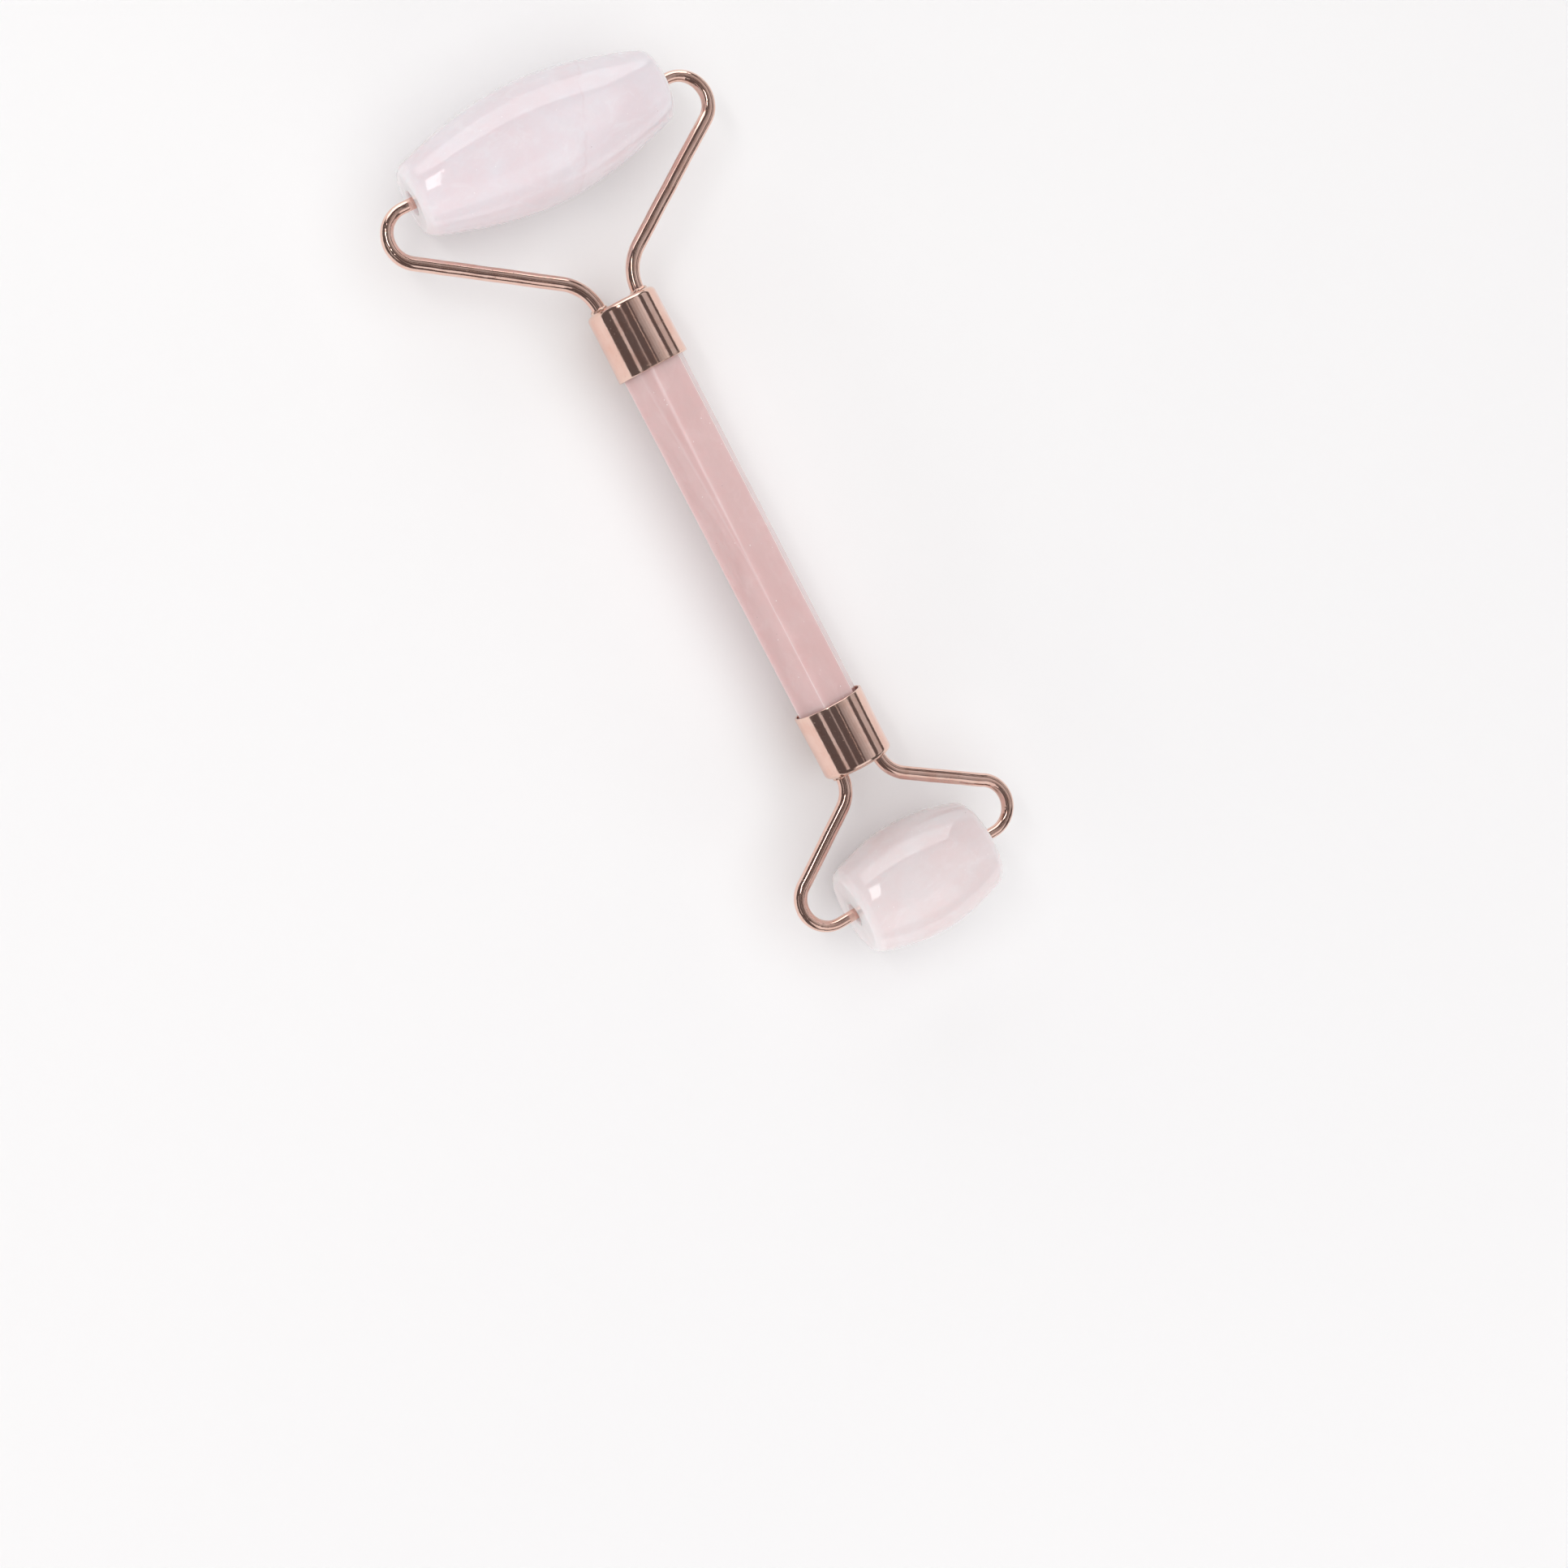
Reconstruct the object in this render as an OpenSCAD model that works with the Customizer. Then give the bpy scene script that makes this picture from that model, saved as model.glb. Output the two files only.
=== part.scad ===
// Two-ended face roller.
// A faceted stone bar has a metal ferrule bonded on each end. Each ferrule carries a fork of two bent wires,
// and a barrel-shaped stone turns freely between the tips of each fork on plastic bushes.
//
// Frame: +X along the axes of both rollers, +Y along the handle towards the large roller, +Z up.
// Origin: on the surface that the two stones rest on, below the middle of the whole length.
// Millimetres.

/* [Handle bar] */
// Length of the bar that shows between the two ferrules
bar_exposed = 58; // [45:0.5:75]
// Width of the six-sided bar across opposite flats
bar_flats = 9.3; // [8.8:0.05:9.35]
// Turn of the bar about its own axis, from a flat facing straight up
bar_turn = 7; // [-30:1:30]
// Diameter of the round tenon ground on each end of the bar
tenon_d = 9.0; // [7.5:0.1:9.2]

/* [Ferrules] */
// Length of a ferrule, from its open rim to its closed end face
ferrule_len = 11; // [8:0.5:15]
// Outside diameter at the open rim
ferrule_rim_d = 11.6; // [11.4:0.05:12.5]
// Outside diameter at the closed end
ferrule_end_d = 11.4; // [11.2:0.05:12]
// Inside diameter of the cup
ferrule_bore_d = 10.8; // [10.2:0.05:10.9]
// Thickness of the closed end
ferrule_floor = 1.0; // [0.7:0.1:1.5]
// Radius that rounds the closed end's edge
ferrule_round = 0.9; // [0.4:0.1:1.2]
// How far the cement stops below the open rim
cement_recess = 1.2; // [0.5:0.1:3]
// Thickness of cement between the tenon's end and the cup's floor
cement_floor = 1.4; // [1.2:0.1:2]

/* [Fork wire] */
// Diameter of the wire
wire_d = 2.2; // [1.8:0.05:2.3]
// Diameter of the pivot pin at the tip of each wire
pin_d = 1.8; // [1.4:0.05:1.8]
// Distance between the two wire roots, centre to centre
root_gap = 6.8; // [6:0.1:7]
// Radial braze gap round a root in its hole
root_gap_r = 0.05; // [0.02:0.01:0.1]
// Outside radius of a braze fillet
fillet_r = 1.6; // [1.4:0.05:1.8]
// Height of a braze fillet
fillet_h = 0.8; // [0.4:0.1:0.9]

/* [Large fork] */
// Width over the outsides of the two wires
large_fork_w = 56.7; // [52:0.1:64]
// Distance from the ferrule's end face to the roller axis
large_reach = 26.4; // [23:0.1:32]
// Centreline radius of the bend near the ferrule
large_root_bend = 7.2; // [4:0.1:8]
// Centreline radius of the bend at the tip
large_tip_bend = 4.3; // [3:0.1:4.4]

/* [Small fork] */
// Width over the outsides of the two wires
small_fork_w = 40.2; // [36.5:0.1:46]
// Distance from the ferrule's end face to the roller axis
small_reach = 20.4; // [18.5:0.1:26]
// Centreline radius of the bend near the ferrule
small_root_bend = 5.6; // [3:0.1:6]
// Centreline radius of the bend at the tip
small_tip_bend = 4.4; // [3:0.1:4.6]

/* [Large roller] */
// Largest diameter, at the middle
large_d = 19; // [16:0.1:21]
// Length between the end faces
large_len = 42.6; // [36:0.1:43]
// Radius of curvature of the crown, along the axis
large_crown = 45; // [35:1:80]
// Slope that the flanks run out to
large_flank = 0.44; // [0.3:0.01:0.48]

/* [Small roller] */
// Largest diameter, at the middle
small_d = 19; // [16:0.1:21]
// Length between the end faces
small_len = 24; // [20:0.1:26]
// Radius of curvature of the crown, along the axis
small_crown = 24.3; // [18:0.1:50]
// Slope that the flanks run out to
small_flank = 0.484; // [0.3:0.01:0.6]

/* [Pivots] */
// Radius that rounds the edge of each end face
stone_round = 1.1; // [0.5:0.1:1.5]
// Diameter of the blind hole in each end of a stone
hole_d = 3.6; // [3:0.1:4]
// Depth of the hole
hole_depth = 6; // [5.2:0.1:7]
// How far a bush sits below the end face
bush_recess = 0.8; // [0.3:0.1:1]
// Length of a bush
bush_len = 4.2; // [3:0.1:4.2]
// Radial running clearance between pin and bush
pin_clear = 0.05; // [0.02:0.01:0.1]
// How far a pin's tip goes in past the end face
pin_in = 4.8; // [3:0.1:5]

/* [Hidden] */

$fn = 96;
wire_r = wire_d / 2;
pin_r = pin_d / 2;
root_x = root_gap / 2;
// End faces of the ferrules, and the roller axes, measured from the middle of the bar
end_y = bar_exposed / 2 + ferrule_len;
large_y = end_y + large_reach;
small_y = end_y + small_reach;
// The handle's axis lies at the larger stone radius, and the middle of the bar is shifted so that the whole length is centred
axis_z = max(large_d, small_d) / 2;
shift_y = -((large_y + large_d / 2) - (small_y + small_d / 2)) / 2;
// Length and diameter of the tenons, and height of the wire roots inside the cup
tenon_len = ferrule_len - ferrule_floor - cement_floor;
tenon = min(tenon_d, bar_flats - 0.2);
// How far a tenon's own solid runs back into the bar
tenon_lap = 1;
stub = cement_floor - 0.4;
// Length of the taper from wire to pin
taper = 0.8;
// Height above the end face at which a root starts to bend
root_rise = 0.2;
// How far a straight length of wire runs into a bend, and how much thinner it is than the bend
lap = 0.25;
slip = 0.02;
// Numbers of steps in the curved profiles
crown_steps = 26;
round_steps = 6;

stone_pink = [0.93, 0.85, 0.87];
bar_pink = [0.86, 0.70, 0.68];
rose_gold = [0.80, 0.58, 0.48];
braze_gold = [0.84, 0.62, 0.50];
cement_grey = [0.86, 0.84, 0.80];
bush_white = [0.94, 0.94, 0.92];

// Puts a piece drawn about the middle of the bar, with the handle along +Y, in its place
module placed() translate([0, shift_y, axis_z]) children();

// Turns a piece drawn for the large end, about the middle of the bar, to the small end
module at_small_end() mirror([0, 1, 0]) children();

// Stands a shape drawn along +Z up along +Y
module along_y() rotate([-90, 0, 0]) children();

// ---- handle ----

// Six-sided bar with a flat near the top, and a round tenon at each end
module handle_bar() color(bar_pink) placed() {
    rotate([0, bar_turn, 0]) along_y() cylinder(d = bar_flats / cos(30), h = bar_exposed, center = true, $fn = 6);
    for (s = [-1, 1]) translate([0, s * (bar_exposed + tenon_len - tenon_lap) / 2, 0])
        along_y() cylinder(d = tenon, h = tenon_len + tenon_lap, center = true);
}

// ---- ferrules ----

// Half-section of the cup: radius against height, with the open rim at 0 and the closed end at ferrule_len
function cup_section() = let (r0 = ferrule_rim_d / 2, r1 = ferrule_end_d / 2, c = ferrule_round, b = ferrule_bore_d / 2, e = 0.12) concat(
    [[b, 0.12], [b + 0.1, 0], [r0 - e, 0], [r0, e]],
    [for (i = [0:round_steps]) let (a = 90 * i / round_steps) [r1 - c + c * cos(a), ferrule_len - c + c * sin(a)]],
    [[0, ferrule_len], [0, ferrule_len - ferrule_floor], [b, ferrule_len - ferrule_floor]]);

// Cup with two holes in its closed end for the wire roots
module ferrule() translate([0, bar_exposed / 2, 0]) difference() {
    along_y() rotate_extrude() polygon(cup_section());
    for (s = [-1, 1]) translate([s * root_x, ferrule_len - ferrule_floor - 1, 0])
        along_y() cylinder(r = wire_r + root_gap_r, h = ferrule_floor + 2);
}

module large_end_ferrule() color(rose_gold) placed() ferrule();
module small_end_ferrule() color(rose_gold) placed() at_small_end() ferrule();

// Cement round the tenon and over the cup's floor, cast round the two wire roots
module cement() translate([0, bar_exposed / 2, 0]) difference() {
    translate([0, cement_recess, 0]) along_y() cylinder(d = ferrule_bore_d, h = ferrule_len - ferrule_floor - cement_recess);
    along_y() cylinder(d = tenon, h = tenon_len);
    for (s = [-1, 1]) translate([s * root_x, ferrule_len - ferrule_floor - stub - 0.05, 0])
        along_y() cylinder(r = wire_r + root_gap_r, h = stub + 1);
}

module large_end_cement() color(cement_grey) placed() cement();
module small_end_cement() color(cement_grey) placed() at_small_end() cement();

// ---- fork wires ----

// Direction of the straight run between two bends that turn opposite ways: c1 and c2 are the bend centres
function run_angle(c1, c2, r1, r2) = let (d = c2 - c1) atan2(d[1], d[0]) - asin((r1 + r2) / norm(d));

// One arc of wire about the local Z axis, from angle a0 through a further a1
module wire_arc(r, a0, a1) rotate([0, 0, a0]) rotate_extrude(angle = a1) translate([r, 0]) circle(r = wire_r, $fn = 48);

// One straight length of wire in the XY plane, from p at angle a. It runs a little way into the bends at its ends,
// and is drawn thinner by slip so that its side never coincides with theirs
module wire_run(p, a, len, before, after) translate([p[0], p[1], 0]) rotate([0, 0, a]) translate([-before, 0, 0])
    rotate([0, 90, 0]) cylinder(r = wire_r - slip, h = len + before + after, $fn = 48);

// Half-section of the taper and the pivot pin, radius against distance from the end of the bend
function pin_section(len) = [[0, -lap], [wire_r - slip, -lap], [wire_r - slip, 0], [pin_r, taper], [pin_r, len - 0.3], [pin_r - 0.3, len], [0, len]];

// Right-hand wire of a fork: root, bend, straight run, bend, taper and pin
module arm(fork_w, reach, r1, r2, stone_len) {
    y0 = end_y + root_rise;
    y_pin = end_y + reach;
    c1 = [root_x + r1, y0];
    c2 = [fork_w / 2 - wire_r - r2, y_pin - r2];
    a = run_angle(c1, c2, r1, r2);
    n = [-sin(a), cos(a)];
    p1 = c1 + r1 * n;
    p2 = c2 - r2 * n;
    tip_x = stone_len / 2 - pin_in;
    wire_run([root_x, end_y - ferrule_floor - stub], 90, ferrule_floor + stub + root_rise, 0, lap);
    translate([c1[0], c1[1], 0]) wire_arc(r1, 90 + a, 90 - a);
    wire_run(p1, a, norm(p2 - p1), lap, lap);
    translate([c2[0], c2[1], 0]) wire_arc(r2, a - 90, 180 - a);
    translate([c2[0], y_pin, 0]) rotate([0, -90, 0]) rotate_extrude($fn = 48) polygon(pin_section(c2[0] - tip_x));
}

module large_arm() arm(large_fork_w, large_reach, large_root_bend, large_tip_bend, large_len);
module small_arm() arm(small_fork_w, small_reach, small_root_bend, small_tip_bend, small_len);

module large_fork_arm_right() color(rose_gold) placed() large_arm();
module large_fork_arm_left() color(rose_gold) placed() mirror([1, 0, 0]) large_arm();
module small_fork_arm_right() color(rose_gold) placed() at_small_end() small_arm();
module small_fork_arm_left() color(rose_gold) placed() at_small_end() mirror([1, 0, 0]) small_arm();

// Braze fillet: a hollow-sided ring round a root, standing on the ferrule's end face
function fillet_section() = let (r0 = wire_r + 0.07, w = fillet_r - r0) concat(
    [[r0, 0]],
    [for (i = [0:6]) let (a = 90 * i / 6) [r0 + w * (1 - sin(a)), fillet_h * (1 - cos(a))]]);
module braze() translate([root_x, end_y, 0]) along_y() rotate_extrude() polygon(fillet_section());

module large_fork_braze_right() color(braze_gold) placed() braze();
module large_fork_braze_left() color(braze_gold) placed() mirror([1, 0, 0]) braze();
module small_fork_braze_right() color(braze_gold) placed() at_small_end() braze();
module small_fork_braze_left() color(braze_gold) placed() at_small_end() mirror([1, 0, 0]) braze();

// ---- rollers ----

// Radius of a barrel at a distance x from its middle: a hyperbola with the stated crown radius and flank slope
function barrel_r(x, r, crown, flank) = let (b = crown * flank * flank) r - (sqrt(b * b + pow(flank * x, 2)) - b);

// Slope of the flank at x
function barrel_slope(x, crown, flank) = let (b = crown * flank * flank) flank * flank * x / sqrt(b * b + pow(flank * x, 2));

// Outline from the crown to the flat of one end: the crown and flank, then an arc tangent to the flank and the end face
function half_outline(r, len, crown, flank) = let (
    h = len / 2,
    c = stone_round,
    t = atan(barrel_slope(h - c, crown, flank)),
    xc = h - c,
    x_join = xc + c * sin(t),
    yc = barrel_r(x_join, r, crown, flank) - c * cos(t)) concat(
        [for (i = [0:crown_steps - 1]) let (x = x_join * i / crown_steps) [barrel_r(x, r, crown, flank), x]],
        [for (i = [0:round_steps]) let (a = 90 - t - (90 - t) * i / round_steps) [yc + c * sin(a), xc + c * cos(a)]]);

// Half-section of the drill that cuts a blind hole with a bevelled mouth, in the end at height h
function drill_section(h) = [[0, h - hole_depth], [hole_d / 2, h - hole_depth], [hole_d / 2, h - 0.25], [hole_d / 2 + 0.75, h + 0.5], [0, h + 0.5]];

// Barrel-shaped stone with a blind hole in each end, lying along X
module stone(d, len, crown, flank) {
    up = concat(half_outline(d / 2, len, crown, flank), [[0, len / 2]]);
    n = len(up);
    down = [for (i = [n - 1:-1:1]) [up[i][0], -up[i][1]]];
    rotate([0, 90, 0]) difference() {
        rotate_extrude($fn = 128) polygon(concat(up, down));
        for (s = [0, 1]) mirror([0, 0, s]) rotate_extrude($fn = 64) polygon(drill_section(len / 2));
    }
}

// Plain sleeve in the hole at the +X end of a stone, with a lead-in for the pin
module bush(len) translate([len / 2 - bush_recess - bush_len, 0, 0]) rotate([0, 90, 0]) difference() {
    cylinder(d = hole_d, h = bush_len, $fn = 64);
    translate([0, 0, -1]) cylinder(r = pin_r + pin_clear, h = bush_len + 2, $fn = 64);
    translate([0, 0, bush_len - 0.3]) cylinder(r1 = pin_r + pin_clear, r2 = pin_r + pin_clear + 0.35, h = 0.35, $fn = 64);
}

module at_large_roller() placed() translate([0, large_y, 0]) children();
module at_small_roller() placed() translate([0, -small_y, 0]) children();

module large_roller_stone() color(stone_pink) at_large_roller() stone(large_d, large_len, large_crown, large_flank);
module small_roller_stone() color(stone_pink) at_small_roller() stone(small_d, small_len, small_crown, small_flank);
module large_bush_right() color(bush_white) at_large_roller() bush(large_len);
module large_bush_left() color(bush_white) at_large_roller() mirror([1, 0, 0]) bush(large_len);
module small_bush_right() color(bush_white) at_small_roller() bush(small_len);
module small_bush_left() color(bush_white) at_small_roller() mirror([1, 0, 0]) bush(small_len);

handle_bar();
large_end_ferrule();
small_end_ferrule();
large_end_cement();
small_end_cement();
large_fork_arm_left();
large_fork_arm_right();
small_fork_arm_left();
small_fork_arm_right();
large_fork_braze_left();
large_fork_braze_right();
small_fork_braze_left();
small_fork_braze_right();
large_roller_stone();
large_bush_left();
large_bush_right();
small_roller_stone();
small_bush_left();
small_bush_right();
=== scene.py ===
import math

import bpy
import bmesh
from mathutils import Matrix, Vector, noise


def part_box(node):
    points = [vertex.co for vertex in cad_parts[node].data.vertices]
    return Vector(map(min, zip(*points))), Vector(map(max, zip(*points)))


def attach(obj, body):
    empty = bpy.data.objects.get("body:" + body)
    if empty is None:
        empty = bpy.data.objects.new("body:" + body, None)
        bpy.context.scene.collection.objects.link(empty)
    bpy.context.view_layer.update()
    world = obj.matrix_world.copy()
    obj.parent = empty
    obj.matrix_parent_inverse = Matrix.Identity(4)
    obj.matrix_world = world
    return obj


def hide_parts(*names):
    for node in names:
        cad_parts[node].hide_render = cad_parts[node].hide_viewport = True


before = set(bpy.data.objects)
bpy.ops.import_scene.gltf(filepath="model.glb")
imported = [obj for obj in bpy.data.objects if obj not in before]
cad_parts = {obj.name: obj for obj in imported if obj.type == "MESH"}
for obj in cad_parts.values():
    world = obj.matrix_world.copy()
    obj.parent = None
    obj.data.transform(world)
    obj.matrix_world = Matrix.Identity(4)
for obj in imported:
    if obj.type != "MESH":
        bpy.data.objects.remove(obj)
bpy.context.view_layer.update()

# Everything below is worked out in millimetres and made in metres.
MM = 0.001
scene = bpy.context.scene

# ---------------------------------------------------------------------------
# Places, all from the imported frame
# ---------------------------------------------------------------------------


def box_mm(node):
    lo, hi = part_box(node)
    return Vector(lo) / MM, Vector(hi) / MM


def stone_axis(node):
    lo, hi = box_mm(node)
    return Vector((0.0, (lo.y + hi.y) / 2, (lo.z + hi.z) / 2)), hi.x - lo.x, (hi.z - lo.z) / 2


BIG_C, BIG_L, BIG_R = stone_axis("large_roller_stone")
SMALL_C, SMALL_L, SMALL_R = stone_axis("small_roller_stone")
_blo, _bhi = box_mm("handle_bar")
AXIS_Z = (_blo.z + _bhi.z) / 2
BAR_Y = (_blo.y + _bhi.y) / 2
_flo, _fhi = box_mm("large_end_ferrule")
BAR_HALF = _flo.y - BAR_Y          # half of the bar that shows
FERRULE_LEN = _fhi.y - _flo.y
FERRULE_RIM_R = (_fhi.x - _flo.x) / 2
END = BAR_HALF + FERRULE_LEN       # closed end face of a ferrule, from the middle of the bar
BAR_TURN = 7.0                     # turn of the bar's front flat from straight up towards +X, in degrees
BAR_CORNER_R = (_bhi.x - _blo.x) / 2 / math.cos(math.radians(BAR_TURN))
BAR_FLAT_R = BAR_CORNER_R * math.cos(math.radians(30))
BIG_FORK = box_mm("large_fork_arm_right")[1].x
SMALL_FORK = box_mm("small_fork_arm_right")[1].x
WIRE_R, PIN_R, ROOT_X = 1.1, 0.9, 3.4

# ---------------------------------------------------------------------------
# Mesh helpers
# ---------------------------------------------------------------------------


def smooth(a, b, x):
    if a == b:
        return 0.0 if x < a else 1.0
    t = min(1.0, max(0.0, (x - a) / (b - a)))
    return t * t * (3 - 2 * t)


def fbm(p, seed=0.0, octaves=3):
    q = Vector((p[0] + seed * 17.3, p[1] - seed * 9.1, p[2] + seed * 5.7))
    v, a = 0.0, 1.0
    for _ in range(octaves):
        v += a * noise.noise(q)
        q = q * 2.03
        a *= 0.5
    return v


def arc(cx, cy, r, a0, a1, n):
    """Points of an arc, angles in degrees."""
    return [(cx + r * math.cos(math.radians(a0 + (a1 - a0) * i / n)),
             cy + r * math.sin(math.radians(a0 + (a1 - a0) * i / n))) for i in range(n + 1)]


def make_mesh(name, verts, faces, attributes=None, sharp=40.0):
    """A mesh object from points in millimetres, smooth shaded, with its sharp edges marked by angle."""
    me = bpy.data.meshes.new(name)
    me.from_pydata([tuple(c * MM for c in v) for v in verts], [], faces)
    me.update()
    for key, values in (attributes or {}).items():
        if isinstance(values[0], (tuple, list)):
            a = me.attributes.new(key, "FLOAT_VECTOR", "POINT")
            a.data.foreach_set("vector", [c for v in values for c in v])
        else:
            a = me.attributes.new(key, "FLOAT", "POINT")
            a.data.foreach_set("value", list(values))
    bm = bmesh.new()
    bm.from_mesh(me)
    bmesh.ops.recalc_face_normals(bm, faces=bm.faces)
    bm.to_mesh(me)
    bm.free()
    me.shade_smooth()
    me.set_sharp_from_angle(angle=math.radians(sharp))
    ob = bpy.data.objects.new(name, me)
    scene.collection.objects.link(ob)
    return ob


def lathe(profile, segments, place, shift=None):
    """Turns a profile of (radius, height, wear) about an axis. place(r cos, r sin, height) gives the point.
    A radius of 0 makes a pole. shift(r, h, angle) moves a ring's point outwards and along."""
    verts, faces, wear, rings = [], [], [], []
    for r, h, w in profile:
        if r < 1e-6:
            rings.append([len(verts)])
            verts.append(place(0.0, 0.0, h))
            wear.append(w)
            continue
        ring = []
        for i in range(segments):
            a = 2 * math.pi * i / segments
            dr, dh = shift(r, h, a) if shift else (0.0, 0.0)
            ring.append(len(verts))
            verts.append(place((r + dr) * math.cos(a), (r + dr) * math.sin(a), h + dh))
            wear.append(w)
        rings.append(ring)
    for a, b in zip(rings, rings[1:]):
        if len(a) == 1 and len(b) == 1:
            continue
        for i in range(segments):
            j = (i + 1) % segments
            if len(a) == 1:
                faces.append((a[0], b[j], b[i]))
            elif len(b) == 1:
                faces.append((a[i], a[j], b[0]))
            else:
                faces.append((a[i], a[j], b[j], b[i]))
    return verts, faces, wear


def subtract(ob, cutters):
    """Cuts the cutters out of ob and removes them."""
    for c in cutters:
        m = ob.modifiers.new("cut", "BOOLEAN")
        m.operation, m.solver, m.object = "DIFFERENCE", "EXACT", c
    dg = bpy.context.evaluated_depsgraph_get()
    dg.update()
    me = bpy.data.meshes.new_from_object(ob.evaluated_get(dg))
    ob.modifiers.clear()
    old, ob.data = ob.data, me
    bpy.data.meshes.remove(old)
    for c in cutters:
        d = c.data
        bpy.data.objects.remove(c)
        bpy.data.meshes.remove(d)
    me.shade_smooth()
    me.set_sharp_from_angle(angle=math.radians(40))


def finish_piece(ob, mat, body, node):
    ob.data.materials.clear()
    ob.data.materials.append(mat)
    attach(ob, body)
    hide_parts(node)
    return ob


# ---------------------------------------------------------------------------
# Material helpers
# ---------------------------------------------------------------------------


class Nodes:
    """A short way to write node trees."""

    def __init__(self, name):
        self.mat = bpy.data.materials.new(name)
        self.mat.use_nodes = True
        self.t = self.mat.node_tree
        self.bsdf = self.t.nodes["Principled BSDF"]
        self.x = -200

    def new(self, kind, **props):
        n = self.t.nodes.new(kind)
        self.x -= 30
        n.location = (self.x, -self.x / 3)
        for k, v in props.items():
            setattr(n, k, v)
        return n

    def put(self, socket, value):
        if isinstance(value, bpy.types.NodeSocket):
            self.t.links.new(value, socket)
        elif value is not None:
            socket.default_value = value

    def math(self, op, a, b=None, c=None, clamp=False):
        n = self.new("ShaderNodeMath", operation=op, use_clamp=clamp)
        for i, v in enumerate((a, b, c)):
            self.put(n.inputs[i], v)
        return n.outputs[0]

    def vec(self, op, a, b=None):
        n = self.new("ShaderNodeVectorMath", operation=op)
        self.put(n.inputs[0], a)
        if b is not None:
            if op == "SCALE":
                self.put(n.inputs["Scale"], b)
            else:
                self.put(n.inputs[1], b)
        return n.outputs["Value"] if op in ("DOT_PRODUCT", "LENGTH", "DISTANCE") else n.outputs["Vector"]

    def ramp(self, v, a, b, lo=0.0, hi=1.0):
        """Smooth step of v from a to b, giving lo to hi."""
        n = self.new("ShaderNodeMapRange", interpolation_type="SMOOTHSTEP")
        self.put(n.inputs["Value"], v)
        n.inputs["From Min"].default_value, n.inputs["From Max"].default_value = a, b
        n.inputs["To Min"].default_value, n.inputs["To Max"].default_value = lo, hi
        return n.outputs["Result"]

    def noise(self, co, scale, detail=3.0, rough=0.5, distort=0.0, kind="FBM"):
        n = self.new("ShaderNodeTexNoise", noise_dimensions="3D")
        n.noise_type = kind
        if kind == "FBM":
            n.normalize = True
        self.put(n.inputs["Vector"], co)
        n.inputs["Scale"].default_value = scale
        n.inputs["Detail"].default_value = detail
        n.inputs["Roughness"].default_value = rough
        n.inputs["Distortion"].default_value = distort
        return n.outputs[0]

    def voronoi(self, co, scale, feature="F1", randomness=1.0):
        n = self.new("ShaderNodeTexVoronoi", feature=feature)
        self.put(n.inputs["Vector"], co)
        n.inputs["Scale"].default_value = scale
        n.inputs["Randomness"].default_value = randomness
        return n.outputs["Distance"]

    def mix(self, fac, a, b, mode="MIX"):
        n = self.new("ShaderNodeMix", data_type="RGBA", blend_type=mode)
        self.put(n.inputs[0], fac)
        for i, v in ((6, a), (7, b)):
            if isinstance(v, (tuple, list)) and len(v) == 3:
                v = (*v, 1.0)
            self.put(n.inputs[i], v)
        return n.outputs[2]

    def attribute(self, name, vector=False):
        n = self.new("ShaderNodeAttribute", attribute_name=name)
        return n.outputs["Vector"] if vector else n.outputs["Fac"]

    def mm(self, offset=(0, 0, 0), stretch=(1, 1, 1)):
        """Object coordinates in millimetres, about a point, stretched."""
        tc = self.new("ShaderNodeTexCoord")
        v = self.vec("MULTIPLY", tc.outputs["Object"], (1000.0, 1000.0, 1000.0))
        if any(offset):
            v = self.vec("SUBTRACT", v, offset)
        if tuple(stretch) != (1, 1, 1):
            v = self.vec("MULTIPLY", v, stretch)
        return v

    def bump(self, height, distance, strength=1.0, normal=None):
        """height is in units of distance, and distance in millimetres."""
        n = self.new("ShaderNodeBump")
        self.put(n.inputs["Height"], height)
        n.inputs["Strength"].default_value = strength
        n.inputs["Distance"].default_value = distance * MM
        self.put(n.inputs["Normal"], normal)
        return n.outputs["Normal"]


# ---------------------------------------------------------------------------
# Materials
# ---------------------------------------------------------------------------


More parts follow.
